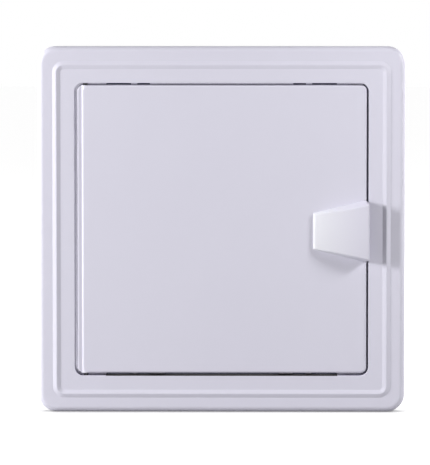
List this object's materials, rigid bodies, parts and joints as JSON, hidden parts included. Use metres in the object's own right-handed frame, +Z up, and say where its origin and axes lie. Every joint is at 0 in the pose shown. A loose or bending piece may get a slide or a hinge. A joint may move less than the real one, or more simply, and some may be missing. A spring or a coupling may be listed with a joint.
{
  "type": "bath access panel",
  "caption": "Square flanged access panel with a raised bead, a hinged flush door, a wedge-shaped finger pull and a sprung catch.",
  "frame": {"origin": "middle of the square opening, in the plane of the wall's face that the flange rests on", "axes": "+Y goes into the wall and the door faces -Y, +Z is up, +X is to the right seen from the front, towards the catch"},
  "size_m": [0.218, 0.0374, 0.218],
  "materials": {
    "moulding": "white moulded plastic with a faint lavender cast and a soft satin gloss",
    "latch_plastic": "natural white acetal, slightly waxy",
    "steel": "bright zinc plated",
    "pin_steel": "steel with a black oxide finish, waxed, satin"
  },
  "bodies": {
    "frame_body": {"frame": "moulding", "upper_hinge_pin": "pin_steel", "lower_hinge_pin": "pin_steel"},
    "door_body": {"door": "moulding", "pull_handle": "moulding", "latch_body": "latch_plastic", "latch_spring": "steel", "handle_screws": "steel", "latch_screws": "steel"},
    "bolt_body": {"latch_bolt": "latch_plastic"}
  },
  "joints": [
    {"name": "door_hinge", "type": "hinge", "parent": "frame_body", "child": "door_body", "pos_m": [-0.0808, -0.004, 0], "axis": [0, 0, -1], "range_deg": [0, 120]},
    {"name": "bolt_slide", "type": "slide", "parent": "door_body", "child": "bolt_body", "axis": [1, 0, 0], "range_m": [-0.0014, 0.0012], "stiffness_N_per_m": 400, "springref_m": 0.004, "deforming": ["latch_spring"]}
  ]
}
